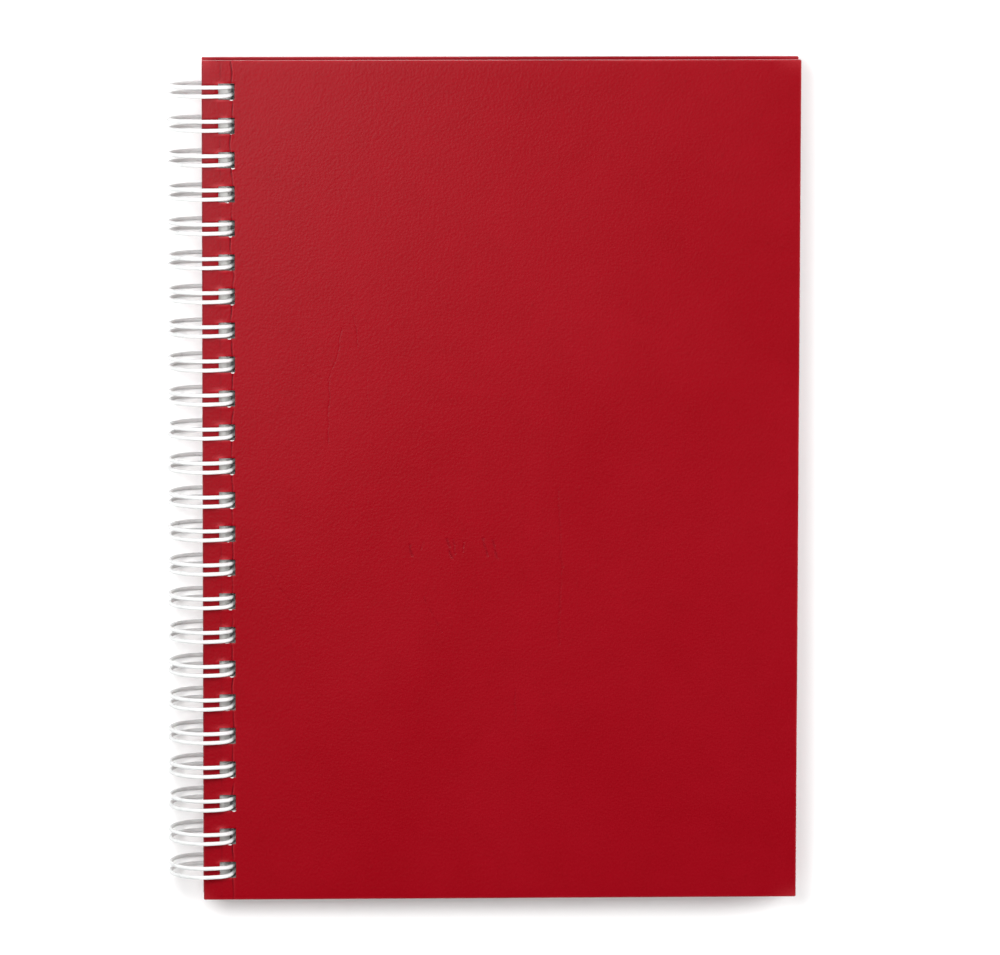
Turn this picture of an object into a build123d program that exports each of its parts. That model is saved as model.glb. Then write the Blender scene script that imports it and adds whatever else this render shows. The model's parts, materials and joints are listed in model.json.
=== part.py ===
from build123d import *

import os
from math import asin, atan, atan2, cos, hypot, pi, radians, sin, sqrt

# A hardcover sketchbook, A5 upright, bound along its left edge with twin-loop wire.
#
# Each cover is a grey board, a red wrap turned in round its four edges, and a paper liner.
# Between the covers lies a stack of loose sheets. Every layer is punched with one row of square
# holes, and one continuous wire, bent into hairpin loops and closed into rings, runs through them.
# The wire's closing seam, where the tips meet the bends, is hidden between the last sheet and the
# back cover.
#
# Millimetres. +Z up, +Y towards the head of the book, +X towards its fore-edge. The origin is the
# bottom centre of the closed book, on the surface that the rings stand on.

# covers
COVER_WIDTH = 148.0
COVER_HEIGHT = 210.0
WRAP_THICKNESS = 0.2
BOARD_THICKNESS = 1.45
LINER_THICKNESS = 0.15
TURN_IN = 14.0  # how far the wrap comes round onto the inner face
LINER_MARGIN = 3.0  # how far the liner stays inside the cover's edges
EDGE_RADIUS = 0.3  # outer rounding of the wrap where it turns over the board

# sheets
SHEET_COUNT = 40
SHEET_THICKNESS = 0.145
AIR_GAP = 0.005  # between one layer and the next
HEAD_INSET = 2.0  # sheets stay this far inside the covers at head and tail
FORE_INSET = 1.0  # and this far inside at the fore-edge, the furthest of them
SHEET_SKEW = 0.25  # degrees that the sheets lie turned, their head towards the fore-edge
SKEW_SPREAD = 0.06  # degrees by which single sheets differ from that

# punching
PUNCH_SIZE = 4.0
PUNCH_MARGIN = 4.0  # from the spine edge to the holes
LOOP_PITCH = 25.4 / 3
LEAST_HEAD_MARGIN = 6.0  # from the cover's edge to the first loop's centre

# wire
WIRE_DIAMETER = 1.0
SIDE_CLEARANCE = 0.37  # from the wire to the sides of a hole
COVER_PLAY = 0.7  # from the rings to the holes' near edges in the covers
FAR_CLEARANCE = 0.15  # the least from the rings to the holes' far edges there
SHEET_CLEARANCE = 0.14  # from the rings to the holes' near edges in the sheets
SEAM_CLEARANCE = 0.1  # above and below the bends of the seam
RING_OUTSET = 0.05  # from the covers' spine edge out to the rings' centre line
BEND_RADIUS = 0.8  # corners of the bends that join one loop to the next
TIP_SHARE = 0.66  # a loop's width at its tip, as a share of its width elsewhere
TIP_STOP = 0.4  # from the tips to the line of the bends

# sizes that follow
cover_thickness = 2 * WRAP_THICKNESS + BOARD_THICKNESS + LINER_THICKNESS
sheet_step = SHEET_THICKNESS + AIR_GAP
stack_thickness = SHEET_COUNT * sheet_step + AIR_GAP
seam_gap = WIRE_DIAMETER + 2 * SEAM_CLEARANCE
book_thickness = 2 * cover_thickness + stack_thickness + seam_gap
loop_count = int((COVER_HEIGHT - 2 * LEAST_HEAD_MARGIN) / LOOP_PITCH) + 1

wire_radius = WIRE_DIAMETER / 2
punch_near = PUNCH_MARGIN + RING_OUTSET
inner_face = book_thickness / 2 - cover_thickness
widest_ring = hypot(punch_near + PUNCH_SIZE, inner_face) - FAR_CLEARANCE
ring_inside = min(hypot(punch_near, book_thickness / 2) + COVER_PLAY, widest_ring - WIRE_DIAMETER)
ring_radius = ring_inside + wire_radius
ring_outside = ring_inside + WIRE_DIAMETER
loop_half_width = (PUNCH_SIZE - WIRE_DIAMETER) / 2 - SIDE_CLEARANCE
tip_half_width = max(TIP_SHARE * loop_half_width, wire_radius + 0.05)

# places, from the rings outwards
overall_width = ring_outside + RING_OUTSET + COVER_WIDTH
ring_x = ring_outside - overall_width / 2
ring_z = ring_outside
spine_x = ring_x + RING_OUTSET
cover_x = spine_x + COVER_WIDTH / 2
punch_x = spine_x + PUNCH_MARGIN + PUNCH_SIZE / 2
book_top = ring_z + book_thickness / 2
book_bottom = ring_z - book_thickness / 2
stack_top = book_top - cover_thickness - AIR_GAP
stack_bottom = book_bottom + cover_thickness + seam_gap

half_row = (loop_count - 1) / 2 * LOOP_PITCH + PUNCH_SIZE / 2


def hole_reach(height):
    """How far from the rings' centre line a sheet's holes can start, at this height above it."""
    return sqrt((ring_inside - SHEET_CLEARANCE) ** 2 - height**2)


# the sheets slide towards the fore-edge until their holes meet the rings, so their edges follow
# the rings' curve, and the sheet at the rings' own height lies furthest out
furthest_fore_edge = spine_x + COVER_WIDTH - FORE_INSET
sheet_width = furthest_fore_edge - (ring_x + hole_reach(0)) + PUNCH_MARGIN
sheet_height = COVER_HEIGHT - 2 * HEAD_INSET


def punch_row(x):
    """Centres of the punched holes, in a row along the spine at x."""
    first = -(loop_count - 1) / 2 * LOOP_PITCH
    return [(x, first + n * LOOP_PITCH) for n in range(loop_count)]


# --- one cover, lying with its outer face up and its inner face at z = 0 ---

liner_top = LINER_THICKNESS  # of the part of the liner that lies on the turn-ins
board_bottom = liner_top + WRAP_THICKNESS
board_top = board_bottom + BOARD_THICKNESS
window_width = COVER_WIDTH - 2 * TURN_IN
window_height = COVER_HEIGHT - 2 * TURN_IN

with BuildPart() as cover_wrap:
    with BuildSketch(Plane.XY.offset(liner_top)):
        with Locations((cover_x, 0)):
            Rectangle(COVER_WIDTH, COVER_HEIGHT)
    extrude(amount=cover_thickness - liner_top)
    upright = cover_wrap.edges().filter_by(Axis.Z)
    fillet(upright, EDGE_RADIUS)
    outer_rim = cover_wrap.faces().sort_by(Axis.Z)[-1].edges()
    fillet(outer_rim, min(EDGE_RADIUS, cover_thickness / 4))
    # the pocket that holds the board, and the window that the turn-ins leave
    with BuildSketch(Plane.XY.offset(board_bottom)):
        with Locations((cover_x, 0)):
            Rectangle(COVER_WIDTH - 2 * WRAP_THICKNESS, COVER_HEIGHT - 2 * WRAP_THICKNESS)
    extrude(amount=BOARD_THICKNESS, mode=Mode.SUBTRACT)
    with BuildSketch(Plane.XY.offset(liner_top)):
        with Locations((cover_x, 0)):
            Rectangle(window_width, window_height)
    extrude(amount=WRAP_THICKNESS, mode=Mode.SUBTRACT)
    with BuildSketch(Plane.XY):
        with Locations(punch_row(punch_x)):
            Rectangle(PUNCH_SIZE, PUNCH_SIZE)
    extrude(amount=cover_thickness, mode=Mode.SUBTRACT)

with BuildPart() as cover_board:
    with BuildSketch(Plane.XY.offset(board_bottom)):
        with Locations((cover_x, 0)):
            Rectangle(COVER_WIDTH - 2 * WRAP_THICKNESS, COVER_HEIGHT - 2 * WRAP_THICKNESS)
        with Locations(punch_row(punch_x)):
            Rectangle(PUNCH_SIZE, PUNCH_SIZE, mode=Mode.SUBTRACT)
    extrude(amount=BOARD_THICKNESS)

with BuildPart() as cover_liner:
    with BuildSketch():
        with Locations((cover_x, 0)):
            Rectangle(COVER_WIDTH - 2 * LINER_MARGIN, COVER_HEIGHT - 2 * LINER_MARGIN)
    extrude(amount=LINER_THICKNESS)
    # inside the turn-ins the liner drops by the wrap's thickness onto the board
    with BuildSketch(Plane.XY.offset(liner_top)):
        with Locations((cover_x, 0)):
            Rectangle(window_width, window_height)
    extrude(amount=WRAP_THICKNESS)
    with BuildSketch():
        with Locations((cover_x, 0)):
            Rectangle(window_width - 2 * LINER_THICKNESS, window_height - 2 * LINER_THICKNESS)
    extrude(amount=WRAP_THICKNESS, mode=Mode.SUBTRACT)
    with BuildSketch():
        with Locations(punch_row(punch_x)):
            Rectangle(PUNCH_SIZE, PUNCH_SIZE)
    extrude(amount=LINER_THICKNESS, mode=Mode.SUBTRACT)

cover_layers = {"wrap": cover_wrap, "board": cover_board, "liner": cover_liner}

# --- one sheet, with its underside at z = 0 and its holes' near edges at x = 0 ---

with BuildPart() as plain_sheet:
    with BuildSketch():
        with Locations((sheet_width / 2 - PUNCH_MARGIN, 0)):
            Rectangle(sheet_width, sheet_height)
        with Locations(punch_row(PUNCH_SIZE / 2)):
            Rectangle(PUNCH_SIZE, PUNCH_SIZE, mode=Mode.SUBTRACT)
    extrude(amount=SHEET_THICKNESS)

# --- one loop of the wire, from the middle of one bend to the middle of the next ---

# the bends lie flat in the seam gap, half way between the last sheet and the back cover
bend_height = stack_bottom - seam_gap / 2 - ring_z
root_angle = asin(bend_height / hypot(ring_radius, BEND_RADIUS)) - atan(BEND_RADIUS / ring_radius)
root_tangent = Vector(sin(root_angle), 0, -cos(root_angle))
root_point = Vector(cos(root_angle), 0, sin(root_angle)) * ring_radius + Vector(ring_x, 0, ring_z)
bend_point = root_point - root_tangent * BEND_RADIUS

# from the top of the ring to its tip, a loop narrows in a plane leant over by tip_lean
bend_angle = atan2(bend_point.Z - ring_z, bend_point.X - ring_x)
tip_turn = pi / 2 - bend_angle - (TIP_STOP + tip_half_width) / ring_radius
tip_lean = asin((loop_half_width - tip_half_width) / (ring_radius * (1 - cos(tip_turn))))


def on_ring(angle, side):
    """A point of the ring's untapered part. side is -1 or 1 across the loop."""
    across = side * loop_half_width
    return Vector(ring_x + ring_radius * cos(angle), across, ring_z + ring_radius * sin(angle))


def on_taper(turn, side):
    """A point turned from the ring's top towards the loop's tip."""
    drop = ring_radius * (1 - cos(turn))
    return Vector(
        ring_x + ring_radius * sin(turn),
        side * (loop_half_width - drop * sin(tip_lean)),
        ring_z + ring_radius - drop * cos(tip_lean),
    )


def taper_tangent(turn, side):
    """The direction of the wire there, towards the tip."""
    return Vector(cos(turn), -side * sin(turn) * sin(tip_lean), -sin(turn) * cos(tip_lean))


top_angle = -3 * pi / 2  # the way round goes down, under, up the outside and over the top
outer_angle = (root_angle + top_angle) / 2
quarter = (root_angle + outer_angle) / 2
upper_quarter = (outer_angle + top_angle) / 2
half_pitch = Vector(0, LOOP_PITCH / 2, 0)
corner_start = Vector(0, loop_half_width + BEND_RADIUS, 0)
start_point = bend_point - half_pitch

with BuildPart() as wire_loop:
    with BuildLine() as loop_path:
        Line(start_point, bend_point - corner_start)
        TangentArc(bend_point - corner_start, on_ring(root_angle, -1), tangent=(0, 1, 0))
        ThreePointArc(on_ring(root_angle, -1), on_ring(quarter, -1), on_ring(outer_angle, -1))
        ThreePointArc(on_ring(outer_angle, -1), on_ring(upper_quarter, -1), on_ring(top_angle, -1))
        ThreePointArc(on_taper(0, -1), on_taper(tip_turn / 2, -1), on_taper(tip_turn, -1))
        TangentArc(
            on_taper(tip_turn, -1), on_taper(tip_turn, 1), tangent=taper_tangent(tip_turn, -1)
        )
        ThreePointArc(on_taper(tip_turn, 1), on_taper(tip_turn / 2, 1), on_taper(0, 1))
        ThreePointArc(on_ring(top_angle, 1), on_ring(upper_quarter, 1), on_ring(outer_angle, 1))
        ThreePointArc(on_ring(outer_angle, 1), on_ring(quarter, 1), on_ring(root_angle, 1))
        TangentArc(on_ring(root_angle, 1), bend_point + corner_start, tangent=-root_tangent)
        Line(bend_point + corner_start, bend_point + half_pitch)
    with BuildSketch(Plane(origin=start_point, z_dir=(0, 1, 0))):
        Circle(wire_radius)
    sweep(path=loop_path.wires()[0])

with BuildPart() as binding_wire:
    with Locations([(0, y) for _, y in punch_row(0)]):
        add(wire_loop.part)


def write(part, name):
    """Labels a finished piece and writes it as the node called name."""
    part.label = name
    export_step(part, f"parts/{name}.step")


os.makedirs("parts", exist_ok=True)
write(binding_wire.part, "binding_wire")

# the back cover is the front cover turned over about the ring's height
for layer, piece in cover_layers.items():
    front = Pos(0, 0, book_top - cover_thickness) * piece.part
    write(front, f"front_{layer}")
    write(mirror(front, about=Plane.XY.offset(ring_z)), f"back_{layer}")

# sheet_01 lies under the front cover, and each sheet lies turned by a slightly different angle
for number in range(1, SHEET_COUNT + 1):
    bottom = stack_top - number * sheet_step + AIR_GAP
    height = max(abs(bottom - ring_z), abs(bottom + SHEET_THICKNESS - ring_z))
    skew = SHEET_SKEW + SKEW_SPREAD * sin(2.4 * number)
    x = ring_x + hole_reach(height) - half_row * sin(radians(abs(skew)))
    write(Pos(x, 0, bottom) * Rotation(0, 0, -skew) * plain_sheet.part, f"sheet_{number:02d}")

loop_length = loop_path.wires()[0].length
print("loops", loop_count, "ring outside diameter", round(2 * ring_outside, 3))
print("book thickness", round(book_thickness, 3), "stack", round(stack_thickness, 3))
print("wire length", round(loop_count * loop_length, 1))
print("wire volume", round(binding_wire.part.volume, 2))
print("section times length", round(pi * wire_radius**2 * loop_length * loop_count, 2))
print("ring centre", round(ring_x, 3), round(ring_z, 3), "spine edge", round(spine_x, 3))
print("book top and bottom", round(book_top, 3), round(book_bottom, 3))
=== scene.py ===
import json
import random
from math import asin, atan, atan2, cos, exp, hypot, pi, radians, sin, tan

import bmesh
import bpy
from mathutils import Matrix, Vector, noise

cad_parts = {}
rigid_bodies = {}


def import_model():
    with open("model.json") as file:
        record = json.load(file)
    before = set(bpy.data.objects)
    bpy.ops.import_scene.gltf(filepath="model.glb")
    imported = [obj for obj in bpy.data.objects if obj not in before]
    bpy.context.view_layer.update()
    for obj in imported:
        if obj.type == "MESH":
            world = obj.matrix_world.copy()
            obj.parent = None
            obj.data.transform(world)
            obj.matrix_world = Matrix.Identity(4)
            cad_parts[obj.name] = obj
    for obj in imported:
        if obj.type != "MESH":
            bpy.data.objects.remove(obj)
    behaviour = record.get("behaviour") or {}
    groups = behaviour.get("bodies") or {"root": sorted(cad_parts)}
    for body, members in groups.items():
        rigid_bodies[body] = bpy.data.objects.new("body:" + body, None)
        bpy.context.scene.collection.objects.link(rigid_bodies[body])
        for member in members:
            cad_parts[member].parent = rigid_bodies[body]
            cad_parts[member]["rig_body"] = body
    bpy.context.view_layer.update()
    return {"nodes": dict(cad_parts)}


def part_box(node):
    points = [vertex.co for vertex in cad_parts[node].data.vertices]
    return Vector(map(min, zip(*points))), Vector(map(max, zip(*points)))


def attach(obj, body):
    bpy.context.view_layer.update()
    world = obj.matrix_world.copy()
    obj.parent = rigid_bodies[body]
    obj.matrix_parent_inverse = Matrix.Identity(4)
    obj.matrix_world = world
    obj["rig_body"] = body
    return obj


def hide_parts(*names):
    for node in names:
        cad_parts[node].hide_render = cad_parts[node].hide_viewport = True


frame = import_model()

# A wire-bound hardcover sketchbook. Metres, with MM for sizes that a bookbinder gives in
# millimetres. +Z up, +Y towards the head of the book, +X towards its fore-edge.

MM = 0.001
nodes = frame["nodes"]

# --- sizes read from the frame ---

wire_low, wire_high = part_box("binding_wire")
front_low, front_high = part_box("front_wrap")
SHEET_NODES = sorted(name for name in nodes if name.startswith("sheet_"))
WIRE_RADIUS = 0.5 * MM
ring_outside = (wire_high.z - wire_low.z) / 2
ring_radius = ring_outside - WIRE_RADIUS
ring_z = wire_low.z + ring_outside
ring_x = wire_low.x + ring_outside
spine_x = front_low.x
fore_x = front_high.x
head_y = front_high.y

LOOP_COUNT = 24
LOOP_PITCH = 25.4 / 3 * MM
PUNCH_SIZE = 4 * MM
PUNCH_MARGIN = 4 * MM
TURN_IN = 14 * MM
WRAP_THICKNESS = 0.2 * MM
loop_rows = [(n - (LOOP_COUNT - 1) / 2) * LOOP_PITCH for n in range(LOOP_COUNT)]
punch_left = spine_x + PUNCH_MARGIN
punch_right = punch_left + PUNCH_SIZE


# --- small helpers ---


def ramp(value, low, high):
    """0 below low, 1 above high, and a smooth rise between."""
    t = min(max((value - low) / (high - low), 0), 1)
    return t * t * (3 - 2 * t)


def hump(distance, width):
    """1 at the middle of a ridge or groove, falling away over its width."""
    return exp(-((distance / width) ** 2))


def steps(start, stops):
    """Positions from start, through each (end, count) in turn, in even steps."""
    places = [start]
    for end, count in stops:
        begin = places[-1]
        places += [begin + (end - begin) * (k + 1) / count for k in range(count)]
    return places


def make_piece(name, bm, body, finish):
    """Turns a bmesh into a named piece that rides on a body, with one finish."""
    mesh = bpy.data.meshes.new(name)
    bm.to_mesh(mesh)
    bm.free()
    piece = bpy.data.objects.new(name, mesh)
    bpy.context.scene.collection.objects.link(piece)
    mesh.materials.append(finish)
    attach(piece, body)
    return piece


def shade_smooth(piece):
    piece.data.polygons.foreach_set("use_smooth", [True] * len(piece.data.polygons))


def set_finish(node_name, finish):
    """Gives a CAD node a better material in its own slot."""
    node = nodes[node_name]
    if not node.material_slots:
        node.data.materials.append(finish)
    for material_slot in node.material_slots:
        material_slot.material = finish


# --- finishes ---


class Finish:
    """A node material being put together round its Principled shader."""

    def __init__(self, name):
        self.material = bpy.data.materials.new(name)
        self.material.use_nodes = True
        self.tree = self.material.node_tree
        self.shader = self.tree.nodes["Principled BSDF"]
        self.place = self.node("TexCoord").outputs["Object"]

    def node(self, kind, inputs=None, **settings):
        made = self.tree.nodes.new("ShaderNode" + kind)
        for setting, value in settings.items():
            setattr(made, setting, value)
        for socket, value in (inputs or {}).items():
            if isinstance(value, bpy.types.NodeSocket):
                self.tree.links.new(value, made.inputs[socket])
            else:
                made.inputs[socket].default_value = value
        return made

    def stretched(self, scale, turn=(0, 0, 0)):
        """The place on the piece, scaled along each axis."""
        mapping = self.node("Mapping", {"Vector": self.place, "Scale": scale, "Rotation": turn})
        return mapping.outputs["Vector"]

    def grain(self, scale, detail=3.0, rough=0.5, place=None, warp=0.0):
        """A cloudy pattern with about scale lumps to a metre."""
        inputs = {
            "Vector": place or self.place,
            "Scale": scale,
            "Detail": detail,
            "Roughness": rough,
            "Distortion": warp,
        }
        return self.node("TexNoise", inputs).outputs["Fac"]

    def cells(self, scale, feature="F1", place=None, randomness=1.0):
        """A pebbled pattern with about scale pebbles to a metre."""
        inputs = {"Vector": place or self.place, "Scale": scale, "Randomness": randomness}
        return self.node("TexVoronoi", inputs, feature=feature).outputs["Distance"]

    def between(self, value, low, high, to_low=0.0, to_high=1.0):
        """value from low to high brought to another range, and held at its ends."""
        inputs = {
            "Value": value,
            "From Min": low,
            "From Max": high,
            "To Min": to_low,
            "To Max": to_high,
        }
        return self.node("MapRange", inputs).outputs["Result"]

    def sum_of(self, operation, first, second):
        return self.node("Math", {0: first, 1: second}, operation=operation).outputs["Value"]

    def blend(self, share, first, second):
        """The first colour at share 0 and the second at share 1."""
        made = self.node("Mix", data_type="RGBA")
        for socket, value in ((0, share), (6, first), (7, second)):
            if isinstance(value, bpy.types.NodeSocket):
                self.tree.links.new(value, made.inputs[socket])
            else:
                made.inputs[socket].default_value = value
        return made.outputs[2]

    def attribute(self, name):
        return self.node("Attribute", attribute_name=name).outputs["Fac"]

    def bump(self, height, depth, below=None, strength=1.0):
        """Relief of a height pattern, depth in metres, over another relief."""
        inputs = {"Height": height, "Distance": depth, "Strength": strength}
        if below is not None:
            inputs["Normal"] = below
        return self.node("Bump", inputs).outputs["Normal"]

    def finish(self, colour=None, roughness=None, normal=None, **fixed):
        for socket, value in (("Base Color", colour), ("Roughness", roughness), ("Normal", normal)):
            if value is None:
                continue
            if isinstance(value, bpy.types.NodeSocket):
                self.tree.links.new(value, self.shader.inputs[socket])
            else:
                self.shader.inputs[socket].default_value = value
        for socket, value in fixed.items():
            self.shader.inputs[socket.replace("_", " ")].default_value = value
        return self.material

    def stroke(self, place, start, end, width):
        """1 along a thin line from start to end on the cover, and 0 away from it."""
        run = Vector(end) - Vector(start)
        offset = self.node("VectorMath", {0: place, 1: start}, operation="SUBTRACT")
        offset = offset.outputs["Vector"]
        share = self.node(
            "VectorMath", {0: offset, 1: run / run.length_squared}, operation="DOT_PRODUCT"
        ).outputs["Value"]
        share = self.node("Clamp", {"Value": share}).outputs["Result"]
        nearest = self.node("VectorMath", {0: run, "Scale": share}, operation="SCALE")
        gap = self.node(
            "VectorMath", {0: offset, 1: nearest.outputs["Vector"]}, operation="DISTANCE"
        ).outputs["Value"]
        return self.between(gap, width, 0.0)


def on_cover(from_spine, from_head):
    """A place on the cover, from millimetres in from its spine edge and its head."""
    return Vector((spine_x + from_spine * MM, head_y - from_head * MM, 0))


# scuffs on the front cover: start, end, width and depth in millimetres
FRONT_SCUFFS = [
    ((51.4, 120.2), (51.9, 123.2), 0.5, 0.9),
    ((54.6, 119.6), (54.2, 121.8), 0.4, 0.5),
    ((60.4, 119.0), (61.8, 123.8), 0.5, 1.0),
    ((61.9, 119.4), (62.6, 122.6), 0.4, 0.7),
    ((65.0, 119.8), (64.6, 122.4), 0.4, 0.6),
    ((69.6, 119.2), (70.6, 123.6), 0.5, 1.0),
    ((71.8, 119.6), (73.2, 124.0), 0.5, 0.9),
    ((88.2, 107.0), (88.9, 126.0), 0.5, 0.35),
    ((88.9, 126.0), (88.4, 146.0), 0.5, 0.35),
    ((77.5, 157.0), (77.7, 165.0), 0.4, 0.4),
    ((54.6, 133.6), (59.3, 142.8), 0.3, 0.4),
    ((37.6, 63.4), (38.4, 70.8), 0.3, 0.5),
    ((34.4, 66.5), (33.4, 73.0), 0.3, 0.5),
    ((33.4, 73.0), (31.0, 79.5), 0.3, 0.4),
    ((31.4, 79.5), (31.0, 95.0), 0.35, 0.5),
    ((25.0, 75.5), (29.5, 79.0), 0.3, 0.35),
    ((16.5, 128.0), (21.5, 134.5), 0.3, 0.35),
    ((40.4, 78.0), (41.2, 86.0), 0.25, 0.3),
]
BACK_SCUFFS = [
    ((40.0, 60.0), (52.0, 66.5), 0.3, 0.4),
    ((96.0, 130.0), (97.5, 150.5), 0.4, 0.4),
    ((70.0, 171.0), (88.0, 175.5), 0.3, 0.35),
    ((118.0, 40.0), (119.0, 47.0), 0.35, 0.4),
]


def red_leatherette(name, scuffs):
    """Embossed paper leatherette: a fine satin grain, worn folds, painted shade in its creases,
    scuffs, and a pale torn core.
    """
    f = Finish(name)
    pebbles = f.cells(1750, "SMOOTH_F1")
    fine = f.grain(2600, 4.0, 0.6)
    clouds = f.grain(22, 5.0, 0.62, warp=0.4)
    patches = f.grain(140, 4.0, 0.6)
    deep_red = (0.19, 0.0, 0.0032, 1)
    bright_red = (0.205, 0.0, 0.004, 1)
    tone = f.sum_of("ADD", f.sum_of("MULTIPLY", clouds, 0.6), f.sum_of("MULTIPLY", patches, 0.4))
    colour = f.blend(f.between(tone, 0.38, 0.62), deep_red, bright_red)
    grains = f.sum_of("MULTIPLY", f.between(fine, 0.36, 0.64), 0.16)
    colour = f.blend(grains, colour, (0.31, 0.004, 0.014, 1))
    pits = f.between(pebbles, 0.55, 0.9)
    colour = f.blend(f.sum_of("MULTIPLY", pits, 0.3), colour, (0.16, 0.0, 0.003, 1))
    specks = f.between(f.grain(900, 2.0, 0.5), 0.80, 0.86)
    colour = f.blend(f.sum_of("MULTIPLY", specks, 0.35), colour, (0.48, 0.08, 0.09, 1))
    # rubbed folds and raised lips go lighter; painted shade darkens the crease's bottom and the spine
    # fold
    wear = f.sum_of("MULTIPLY", f.attribute("wear"), f.between(fine, 0.3, 0.6, 0.55, 1.0))
    colour = f.blend(wear, colour, (0.47, 0.045, 0.055, 1))
    # painted shade: a near-black red laid over the crease grooves and the spine fold
    painted_shade_mask = f.attribute("crease")
    colour = f.blend(painted_shade_mask, colour, (0.05, 0.0, 0.003, 1))
    torn = f.between(f.sum_of("ADD", f.attribute("torn"), f.sum_of("MULTIPLY", fine, 0.5)), 0.72, 0.9)
    colour = f.blend(torn, colour, (0.58, 0.55, 0.54, 1))
    # relief: broad unevenness of the pasted cloth, grain, then scuffs
    relief = f.bump(f.grain(45, 2.0, 0.5), 0.025 * MM, strength=0.4)
    relief = f.bump(patches, 0.02 * MM, relief, 0.5)
    relief = f.bump(pebbles, 0.05 * MM, relief, 0.7)
    relief = f.bump(fine, 0.02 * MM, relief, 0.5)
    flat = f.node("VectorMath", {0: f.place, 1: (1, 1, 0)}, operation="MULTIPLY").outputs["Vector"]
    wobble = f.node("TexNoise", {"Vector": f.place, "Scale": 260.0, "Detail": 3.0}).outputs["Color"]
    wobble = f.node("VectorMath", {0: wobble, 1: (0.5, 0.5, 0.5)}, operation="SUBTRACT")
    wobble = f.node(
        "VectorMath", {0: wobble.outputs["Vector"], 1: (1.5 * MM, 1.5 * MM, 0)}, operation="MULTIPLY"
    )
    flat = f.node(
        "VectorMath", {0: flat, 1: wobble.outputs["Vector"]}, operation="ADD"
    ).outputs["Vector"]
    marks = None
    for start, end, width, depth in scuffs:
        line = f.stroke(flat, on_cover(*start), on_cover(*end), width * MM)
        line = f.sum_of("MULTIPLY", line, 0.9 * depth)
        marks = line if marks is None else f.sum_of("MAXIMUM", marks, line)
    marks = f.sum_of("MULTIPLY", marks, f.between(f.grain(700, 2.0), 0.35, 0.55, 0.35, 1.0))
    colour = f.blend(f.sum_of("MULTIPLY", marks, 0.45), colour, (0.09, 0.0, 0.004, 1))
    relief = f.bump(marks, -0.1 * MM, relief, 1.0)
    roughness = f.between(f.sum_of("ADD", fine, clouds), 0.7, 1.3, 0.33, 0.42)
    return f.finish(colour, roughness, relief, IOR=1.5, Specular_IOR_Level=0.085)


def drawing_paper(name):
    """Smooth white drawing paper, its cut edges a little greyer where fibres catch dust."""
    f = Finish(name)
    fibres = f.grain(900, 5.0, 0.7, f.stretched((1, 0.25, 1), (0, 0, 0.5)))
    felt = f.grain(260, 4.0, 0.6)
    layers = f.grain(1.0, 2.0, 0.5, f.stretched((160, 160, 5200)))
    tone = f.sum_of("ADD", f.sum_of("MULTIPLY", fibres, 0.5), f.sum_of("MULTIPLY", layers, 0.5))
    colour = f.blend(f.between(tone, 0.38, 0.62), (0.53, 0.525, 0.51, 1), (0.595, 0.59, 0.578, 1))
    relief = f.bump(felt, 0.02 * MM, strength=0.6)
    relief = f.bump(fibres, 0.012 * MM, relief, 0.6)
    return f.finish(colour, f.between(felt, 0.3, 0.7, 0.82, 0.92), relief)


def grey_board(name):
    """Pressed grey board with flecks of pulp, seen on the walls of the punched holes."""
    f = Finish(name)
    pulp = f.grain(1600, 5.0, 0.7, f.stretched((1, 1, 2.5)))
    flecks = f.between(f.cells(2400), 0.0, 0.22, 1.0, 0.0)
    colour = f.blend(f.between(pulp, 0.35, 0.65), (0.16, 0.155, 0.15, 1), (0.34, 0.33, 0.31, 1))
    colour = f.blend(f.sum_of("MULTIPLY", flecks, 0.6), colour, (0.55, 0.53, 0.5, 1))
    relief = f.bump(pulp, 0.06 * MM, strength=0.8)
    return f.finish(colour, f.between(pulp, 0.3, 0.7, 0.85, 0.97), relief)


def end_paper(name):
    """Off-white end paper pasted over the turn-ins, faintly mottled by the paste."""
    f = Finish(name)
    paste = f.grain(45, 5.0, 0.6, warp=0.5)
    fibres = f.grain(1100, 4.0, 0.7, f.stretched((0.3, 1, 1), (0, 0, 0.35)))
    tone = f.sum_of("ADD", f.sum_of("MULTIPLY", paste, 0.6), f.sum_of("MULTIPLY", fibres, 0.4))
    colour = f.blend(f.between(tone, 0.36, 0.64), (0.47, 0.455, 0.42, 1), (0.58, 0.57, 0.54, 1))
    relief = f.bump(paste, 0.08 * MM, strength=0.5)
    relief = f.bump(fibres, 0.014 * MM, relief, 0.6)
    return f.finish(colour, f.between(paste, 0.3, 0.7, 0.7, 0.84), relief)


def nylon_coat(name):
    """White nylon baked onto steel wire: glossy and slightly uneven."""
    f = Finish(name)
    runs = f.grain(420, 3.0, 0.5)
    pores = f.grain(3800, 3.0, 0.6)
    colour = f.blend(f.between(runs, 0.35, 0.65), (0.575, 0.585, 0.585, 1), (0.65, 0.66, 0.655, 1))
    dust = f.between(f.cells(1500), 0.0, 0.12, 1.0, 0.0)
    colour = f.blend(f.sum_of("MULTIPLY", dust, 0.25), colour, (0.55, 0.53, 0.52, 1))
    relief = f.bump(runs, 0.06 * MM, strength=0.5)
    relief = f.bump(pores, 0.008 * MM, relief, 0.5)
    return f.finish(colour, f.between(runs, 0.3, 0.7, 0.26, 0.42), relief, IOR=1.53)


FRONT_RED = red_leatherette("red_leatherette_front", FRONT_SCUFFS)
BACK_RED = red_leatherette("red_leatherette_back", BACK_SCUFFS)
PAPER = drawing_paper("drawing_paper")
BOARD = grey_board("grey_board")
LINER = end_paper("end_paper")
NYLON = nylon_coat("white_nylon")


# --- the leatherette wraps of the two covers ---


def in_hole(x, y):
    if not punch_left < x < punch_right:
        return False
    return min(abs(y - row) for row in loop_rows) < PUNCH_SIZE / 2


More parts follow.
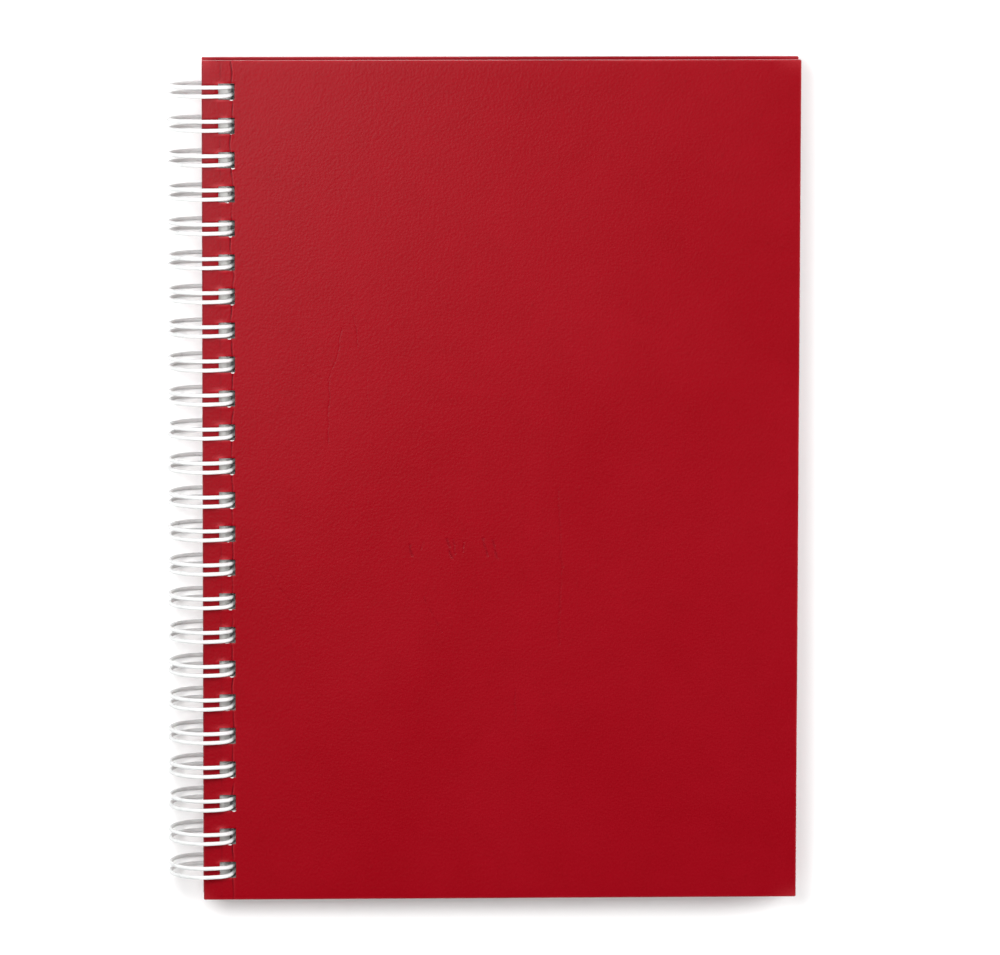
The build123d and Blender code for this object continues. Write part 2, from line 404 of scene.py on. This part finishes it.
def cover_columns():
    """Positions across a cover, closest together where the spine crease runs."""
    stops = [
        (0.5, 1), (4.0, 3), (5.0, 4), (6.4, 2), (8.0, 10), (9.0, 2), (TURN_IN / MM, 2),
        (134.0, 10), (147.5, 2), ((fore_x - spine_x) / MM, 1),
    ]
    return [spine_x + x * MM for x in steps(0, stops)]


def cover_rows():
    """Positions along a cover, matched to its punched holes."""
    stops = [(-head_y + 0.6 * MM, 1)]
    for row in loop_rows:
        stops.append((row - PUNCH_SIZE / 2, 8 if row > loop_rows[0] else 7))
        stops.append((row + PUNCH_SIZE / 2, 7))
    stops += [(head_y - 0.6 * MM, 7), (head_y, 1)]
    return steps(-head_y, stops)


def lift_lips(bm, rng, outer_z, outward, worn, painted_shade_layer, torn):
    """Raises the cut lips of the holes and presses the crease that runs between them, painting shade
    into its groove.
    """
    lips = []
    for row in loop_rows:
        for edge in (-1, 1):
            height = rng.uniform(0.05, 0.2) * MM
            middle = punch_left + rng.uniform(0.2, 1.6) * MM
            lips.append((row + edge * PUNCH_SIZE / 2, height, middle, rng.uniform(0.8, 1.6) * MM))
    flecks = [(row, rng.uniform(2.0, 3.6) * MM, rng.uniform(0, 1)) for row in loop_rows]
    seed = rng.uniform(0, 50)
    for v in bm.verts:
        if abs(v.co.z - outer_z) > 0.32 * MM:
            continue
        x, y = v.co.x, v.co.y
        if x > punch_right + 3 * MM:
            continue
        wander = noise.noise(Vector((0, y * 90, seed))) * 0.6 * MM
        wander += noise.noise(Vector((0, y * 300, seed + 7))) * 0.4 * MM
        crease_x = punch_left + 3.2 * MM + wander
        depth = 0.1 * MM * ramp(noise.noise(Vector((3, y * 170, seed))), -0.45, 0.3)
        groove = hump(x - crease_x, 0.14 * MM)
        ridge = hump(x - crease_x - 0.3 * MM, 0.18 * MM)
        faint_x = punch_left + 0.45 * MM + noise.noise(Vector((9, y * 160, seed))) * 0.3 * MM
        faint = hump(x - faint_x, 0.16 * MM) * ramp(noise.noise(Vector((5, y * 210, seed))), -0.2, 0.4)
        rise = -depth * groove + 0.35 * depth * ridge - 0.3 * depth * faint
        for edge, height, middle, reach in lips:
            near = hump(y - edge, 0.38 * MM)
            if near > 0.01:
                share = near * hump(x - middle, reach)
                rise += height * share
                v[worn] = max(v[worn], 0.75 * share)
        for row, along, amount in flecks:
            tail_lip = row - PUNCH_SIZE / 2
            if amount > 0.25 and abs(y - tail_lip) < 0.1 * MM:
                chip = min(1.0, 1.6 * amount) * hump(x - punch_left - along, 0.6 * MM)
                v[torn] = max(v[torn], chip)
                rise += 0.12 * MM * chip
        v[worn] = max(v[worn], 0.25 * ridge * depth / (0.1 * MM))
        # painted shade in the crease's groove and along the faint line beside the holes
        v[painted_shade_layer] = min(0.9, max(v[painted_shade_layer], 1.1 * groove * depth / (0.1 * MM) + 0.35 * faint))
        v.co.z += outward * rise


def make_wrap(name, node_name, body, finish, outward, seed):
    """One cover's leatherette, turned in round the board's four edges, with punched holes."""
    low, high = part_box(node_name)
    outer_z, inner_z = (high.z, low.z) if outward > 0 else (low.z, high.z)
    xs, ys = cover_columns(), cover_rows()
    columns, rows = len(xs) - 1, len(ys) - 1
    bm = bmesh.new()
    worn = bm.verts.layers.float.new("wear")
    painted_shade_layer = bm.verts.layers.float.new("crease")
    torn = bm.verts.layers.float.new("torn")
    bmesh.ops.create_grid(bm, x_segments=columns, y_segments=rows, size=0.5)
    for v in bm.verts:
        column, row = round((v.co.x + 0.5) * columns), round((v.co.y + 0.5) * rows)
        v.co = (xs[column], ys[row], outer_z)
    holes = [f for f in bm.faces if in_hole(*f.calc_center_median().xy)]
    bmesh.ops.delete(bm, geom=holes, context="FACES")

    def on_rim(v):
        at_side = min(v.co.x - spine_x, fore_x - v.co.x) < 1e-6
        return at_side or head_y - abs(v.co.y) < 1e-6

    # the inner face is the same grid lower down, less the window that the turn-ins leave
    copy = bmesh.ops.duplicate(bm, geom=bm.verts[:] + bm.edges[:] + bm.faces[:])
    inner = {g for g in copy["geom"] if isinstance(g, bmesh.types.BMVert)}
    window = []
    for face in [g for g in copy["geom"] if isinstance(g, bmesh.types.BMFace)]:
        centre = face.calc_center_median()
        inside = spine_x + TURN_IN < centre.x < fore_x - TURN_IN
        if inside and abs(centre.y) < head_y - TURN_IN:
            window.append(face)
    rim = [e for e in bm.edges if e.is_boundary and e.verts[0] not in inner]
    rim = [e for e in rim if on_rim(e.verts[0]) and on_rim(e.verts[1])]
    for v in inner:
        v.co.z = inner_z
    bmesh.ops.delete(bm, geom=window, context="FACES")
    walls = bmesh.ops.extrude_edge_only(bm, edges=rim)
    for v in [g for g in walls["geom"] if isinstance(g, bmesh.types.BMVert)]:
        v.co.z = inner_z
    bmesh.ops.remove_doubles(bm, verts=bm.verts[:], dist=1e-6)
    bmesh.ops.recalc_face_normals(bm, faces=bm.faces[:])
    folds = [
        e for e in bm.edges
        if len(e.link_faces) == 2 and e.calc_face_angle(0) > 1 and all(on_rim(v) for v in e.verts)
    ]
    bmesh.ops.bevel(
        bm, geom=folds, offset=0.3 * MM, offset_type="OFFSET", segments=3,
        profile=0.5, affect="EDGES", clamp_overlap=True, material=-1,
    )
    bmesh.ops.recalc_face_normals(bm, faces=bm.faces[:])
    top = max(bm.faces, key=lambda f: outward * f.calc_center_median().z)
    if top.normal.z * outward < 0:
        bmesh.ops.reverse_faces(bm, faces=bm.faces[:])
    # folds rubbed by handling, most at the corners
    for v in bm.verts:
        inset = min(v.co.x - spine_x, fore_x - v.co.x, head_y - abs(v.co.y))
        corner = max(v.co.x - spine_x, 0) + head_y - abs(v.co.y)
        corner = min(corner, fore_x - v.co.x + head_y - abs(v.co.y))
        rub = 0.35 + 0.5 * noise.noise(v.co * 160 + Vector((seed, 0, 0)))
        v[worn] = max(0, hump(inset, 0.22 * MM) * rub + 0.25 * hump(corner, 2.5 * MM))
        if abs(v.co.z - outer_z) < 0.32 * MM:
            v.co.z -= outward * 0.07 * MM * hump(inset, 1.4 * MM)
            # painted shade: a dark line along the fold at the spine edge
            v[painted_shade_layer] = 0.4 * hump(v.co.x - spine_x, 0.35 * MM)
    lift_lips(bm, random.Random(seed), outer_z, outward, worn, painted_shade_layer, torn)
    wrap = make_piece(name, bm, body, finish)
    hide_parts(node_name)
    shade_smooth(wrap)
    shell = wrap.modifiers.new("leatherette_thickness", "SOLIDIFY")
    shell.thickness = WRAP_THICKNESS
    shell.offset = -1
    shell.use_even_offset = True
    lips = wrap.modifiers.new("soft_cut_edges", "BEVEL")
    lips.width = 0.05 * MM
    lips.segments = 2
    lips.limit_method = "ANGLE"
    lips.angle_limit = radians(50)
    return wrap


make_wrap("front_leatherette", "front_wrap", "front_cover", FRONT_RED, 1, 11)
make_wrap("back_leatherette", "back_wrap", "back_cover", BACK_RED, -1, 23)


# --- the binding wire ---

BEND_RADIUS = 0.8 * MM
LOOP_HALF_WIDTH = 1.13 * MM
TIP_HALF_WIDTH = 0.66 * LOOP_HALF_WIDTH
TIP_STOP = 0.4 * MM
SHOULDER_RISE = 0.08  # how much further out the shoulder reaches, as a share of the radius
SHOULDER_TURN = 0.72  # where it reaches furthest, in radians from the top
SHOULDER_SPREAD = 0.3
HEAD_LEAN = -0.02  # sideways for each unit of height, at the first loop
LEAN_GAIN = 0.07  # and how much that grows towards the last loop
bend_z = (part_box(SHEET_NODES[-1])[0].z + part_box("back_liner")[1].z) / 2 - ring_z
root_angle = asin(bend_z / hypot(ring_radius, BEND_RADIUS)) - atan(BEND_RADIUS / ring_radius)
tangent = Vector((sin(root_angle), 0, -cos(root_angle)))
root = Vector((cos(root_angle), 0, sin(root_angle))) * ring_radius
bend = root - tangent * BEND_RADIUS
tip_turn = pi / 2 - atan2(bend.z, bend.x) - (TIP_STOP + TIP_HALF_WIDTH) / ring_radius
tip_lean = asin((LOOP_HALF_WIDTH - TIP_HALF_WIDTH) / (ring_radius * (1 - cos(tip_turn))))


def half_loop(side, width):
    """One strand from its bend, round under and over the spine, to the loop's tip."""
    points = []
    for k in range(6):
        a = pi / 2 * k / 5
        out = LOOP_HALF_WIDTH * width + BEND_RADIUS * (1 - sin(a))
        points.append(bend + Vector((0, side * out, 0)) + tangent * BEND_RADIUS * (1 - cos(a)))
    for k in range(1, 34):
        a = root_angle + (-3 * pi / 2 - root_angle) * k / 33
        across = side * LOOP_HALF_WIDTH * width
        points.append(Vector((ring_radius * cos(a), across, ring_radius * sin(a))))
    # the shoulder over the punched holes is a little squarer than a circle
    for k in range(1, 22):
        a = tip_turn * k / 21
        reach = ring_radius * (1 + SHOULDER_RISE * hump(a - SHOULDER_TURN, SHOULDER_SPREAD))
        drop = ring_radius - reach * cos(a)
        across = side * (LOOP_HALF_WIDTH * width - drop * sin(tip_lean))
        points.append(Vector((reach * sin(a), across, ring_radius - drop * cos(tip_lean))))
    return points


def make_wire():
    """One long coated wire, bent into twin loops and closed into rings."""
    rng = random.Random(4)
    path = []
    for number, row in enumerate(loop_rows):
        progress = 1 - number / (LOOP_COUNT - 1)
        lean = LEAN_GAIN * progress + HEAD_LEAN + rng.uniform(-0.003, 0.003)
        width = rng.uniform(0.985, 1.015)
        shift = rng.uniform(-0.02, 0.02) * MM
        near, far = half_loop(-1, width), half_loop(1, width)
        tip_from, tip_to = near[-1], far[-1]
        onward = (near[-1] - near[-2]).normalized()
        middle, reach = (tip_from + tip_to) / 2, (tip_to - tip_from) / 2
        tip = [
            middle - reach * cos(pi * k / 8) + onward * reach.length * sin(pi * k / 8)
            for k in range(1, 8)
        ]
        for point in near + tip + far[::-1]:
            y = row + point.y + shift - lean * point.z
            path.append(Vector((ring_x + point.x, y, ring_z + point.z)))
    line = bpy.data.curves.new("wire_line", "CURVE")
    line.dimensions = "3D"
    line.bevel_depth = WIRE_RADIUS
    line.bevel_resolution = 4
    line.use_fill_caps = True
    spline = line.splines.new("POLY")
    spline.points.add(len(path) - 1)
    for point, place in zip(spline.points, path):
        point.co = (*place, 1)
    drawn = bpy.data.objects.new("wire_line", line)
    bpy.context.scene.collection.objects.link(drawn)
    bpy.context.view_layer.update()
    mesh = bpy.data.meshes.new_from_object(drawn)
    bpy.data.objects.remove(drawn)
    bm = bmesh.new()
    bm.from_mesh(mesh)
    bmesh.ops.remove_doubles(bm, verts=bm.verts[:], dist=1e-6)
    bmesh.ops.recalc_face_normals(bm, faces=bm.faces[:])
    wire = make_piece("twin_loop_wire", bm, "wire", NYLON)
    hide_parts("binding_wire")
    shade_smooth(wire)
    return wire


make_wire()


# --- the sheets, which sag off the wire until the last one lies on the back cover ---

SAG_START = punch_right + 1.5 * MM
SAG_LENGTH = 45 * MM
ASKEW_LEAVES = 14  # the top leaves lie askew, each less than the one above
TAIL_ASKEW = 0.45 * MM  # for half the height of the first leaf, towards the spine at its tail


def make_leaf(number, name, rng):
    """One punched sheet, sagging towards its fore-edge and knocked a little askew."""
    bm = bmesh.new()
    bm.from_mesh(nodes[name].data)
    bmesh.ops.remove_doubles(bm, verts=bm.verts[:], dist=1e-7)
    for k in range(9):
        geom = bm.verts[:] + bm.edges[:] + bm.faces[:]
        cut_x = SAG_START + SAG_LENGTH * k / 8
        bmesh.ops.bisect_plane(bm, geom=geom, plane_co=(cut_x, 0, 0), plane_no=(1, 0, 0))
    sag = (seam_height - 0.12 * MM) * number / len(SHEET_NODES)
    askew = max(0, 1 - (number - 1) / ASKEW_LEAVES)
    nudge = rng.uniform(-0.12, 0.0) * MM * (number > 1)
    for v in bm.verts:
        v.co.x += askew * TAIL_ASKEW * (v.co.y / head_y - 1) + nudge
        v.co.z -= sag * ramp(v.co.x, SAG_START, SAG_START + SAG_LENGTH)
    leaf = make_piece(f"leaf_{number:02d}", bm, nodes[name]["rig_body"], PAPER)
    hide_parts(name)
    shade_smooth(leaf)
    leaf.data.set_sharp_from_angle(angle=radians(30))


seam_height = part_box(SHEET_NODES[-1])[0].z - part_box("back_liner")[1].z
leaf_rng = random.Random(31)
for number, name in enumerate(SHEET_NODES, 1):
    make_leaf(number, name, leaf_rng)


# --- boards and liners keep their CAD shapes ---

for cover in ("front", "back"):
    set_finish(f"{cover}_board", BOARD)
    set_finish(f"{cover}_liner", LINER)


# --- floor, light and camera ---

KEY_DIRECTION = Vector((0.78, 0.43, 1.0)).normalized()
KEY_DISTANCE = 1.5
CAMERA_DISTANCE = 2.2
FOCAL_LENGTH = 319.1  # millimetres
CAMERA_ROLL = radians(0.13)
CAMERA_LEAN = (2.5, 8.0)  # degrees from upright, towards the spine and towards the head
AIM_LEAN = (2.492, 7.97)  # the same for the way it looks, which puts the book in the frame


def make_floor():
    bm = bmesh.new()
    bmesh.ops.create_grid(bm, x_segments=1, y_segments=1, size=3.0)
    mesh = bpy.data.meshes.new("floor")
    bm.to_mesh(mesh)
    bm.free()
    floor = bpy.data.objects.new("floor", mesh)
    bpy.context.scene.collection.objects.link(floor)
    f = Finish("pale_floor")
    f.finish((0.96, 0.96, 0.96, 1), 1.0, Specular_IOR_Level=0.0)
    mesh.materials.append(f.material)


def softbox(name, place, aim, size, power):
    """A square area light facing a point."""
    light = bpy.data.lights.new(name, "AREA")
    light.shape = "SQUARE"
    light.size = size
    light.energy = power
    lamp = bpy.data.objects.new(name, light)
    lamp.location = place
    lamp.rotation_mode = "QUATERNION"
    lamp.rotation_quaternion = (Vector(aim) - Vector(place)).to_track_quat("-Z", "Y")
    bpy.context.scene.collection.objects.link(lamp)


def make_world():
    """A pale room: bright low down all round, dark overhead where covers would mirror it."""
    world = bpy.data.worlds.new("studio")
    world.use_nodes = True
    tree = world.node_tree
    coords = tree.nodes.new("ShaderNodeTexCoord")
    split = tree.nodes.new("ShaderNodeSeparateXYZ")
    rise = tree.nodes.new("ShaderNodeMapRange")
    rise.interpolation_type = "SMOOTHSTEP"
    for socket, value in (("From Min", 0.55), ("From Max", 0.85), ("To Min", 1.02), ("To Max", 0.02)):
        rise.inputs[socket].default_value = value
    tree.links.new(coords.outputs["Generated"], split.inputs["Vector"])
    tree.links.new(split.outputs["Z"], rise.inputs["Value"])
    tree.links.new(rise.outputs["Result"], tree.nodes["Background"].inputs["Strength"])
    tree.nodes["Background"].inputs["Color"].default_value = (1, 1, 1, 1)
    bpy.context.scene.world = world


def make_camera():
    """Looks down on the front cover from a little towards its head and its spine."""
    middle = Vector(((spine_x + fore_x) / 2, 0, front_high.z))

    def lean_back(across, along):
        return Vector((-tan(radians(across)), tan(radians(along)), 1)).normalized()

    back = lean_back(*AIM_LEAN)
    right = Vector((0, 1, 0)).cross(back).normalized()
    up = back.cross(right)
    turned_right = right * cos(CAMERA_ROLL) + up * sin(CAMERA_ROLL)
    turned_up = up * cos(CAMERA_ROLL) - right * sin(CAMERA_ROLL)
    data = bpy.data.cameras.new("camera")
    data.lens = FOCAL_LENGTH
    data.sensor_width = 36
    data.clip_start, data.clip_end = 0.05, 20
    camera = bpy.data.objects.new("camera", data)
    camera.rotation_mode = "QUATERNION"
    camera.rotation_quaternion = (
        Matrix((turned_right, turned_up, back)).transposed().to_quaternion()
    )
    camera.location = middle + lean_back(*CAMERA_LEAN) * CAMERA_DISTANCE
    bpy.context.scene.collection.objects.link(camera)
    bpy.context.scene.camera = camera


make_floor()
make_world()
softbox("key_softbox", KEY_DIRECTION * KEY_DISTANCE, (0, 0, 0), size=1.0, power=15)
softbox("glow_softbox", (-0.16, 0.13, 0.5), (-0.05, 0.07, 0), size=0.26, power=2.7)
make_camera()
bpy.context.scene.view_settings.view_transform = "Standard"
